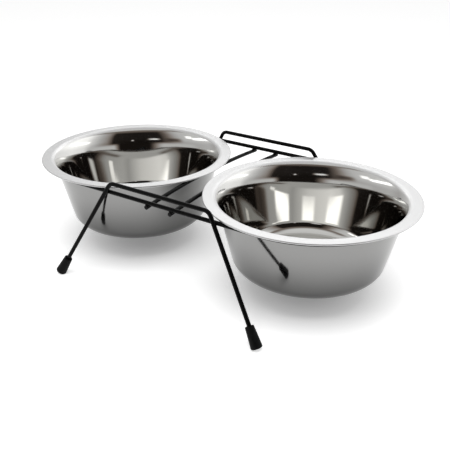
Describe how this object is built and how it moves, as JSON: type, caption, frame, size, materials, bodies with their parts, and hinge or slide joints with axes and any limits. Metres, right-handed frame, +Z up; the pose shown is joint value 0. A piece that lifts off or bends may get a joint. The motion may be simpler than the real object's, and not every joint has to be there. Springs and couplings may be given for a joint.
{
  "type": "dog feeder stand",
  "caption": "Raised dog feeder: flat-rimmed steel bowls hang side by side in a welded black wire stand with splayed legs and rubber foot caps, and lift out for washing.",
  "frame": {"origin": "on the floor, under the middle of the stand", "axes": "+X along the row of bowls, -Y towards the front leg frame, +Z up"},
  "size_m": [0.408, 0.235, 0.108],
  "materials": {
    "coated_wire": "glossy black powder coat over steel wire",
    "foot_rubber": "matt black moulded rubber",
    "bowl_steel": "polished stainless steel, satin on the rim"
  },
  "bodies": {
    "stand": {"front_leg_frame": "coated_wire", "rear_leg_frame": "coated_wire", "support_loop": "coated_wire", "left_cross_wire": "coated_wire", "right_cross_wire": "coated_wire", "leg_welds": "coated_wire", "cross_wire_welds": "coated_wire", "front_left_foot": "foot_rubber", "front_right_foot": "foot_rubber", "rear_left_foot": "foot_rubber", "rear_right_foot": "foot_rubber"},
    "left_bowl_body": {"left_bowl": "bowl_steel"},
    "right_bowl_body": {"right_bowl": "bowl_steel"}
  },
  "joints": [
    {"name": "left_bowl_lift", "type": "slide", "parent": "stand", "child": "left_bowl_body", "axis": [0, 0, 1], "range_m": [0, 0.1]},
    {"name": "right_bowl_lift", "type": "slide", "parent": "stand", "child": "right_bowl_body", "axis": [0, 0, 1], "range_m": [0, 0.1]}
  ]
}
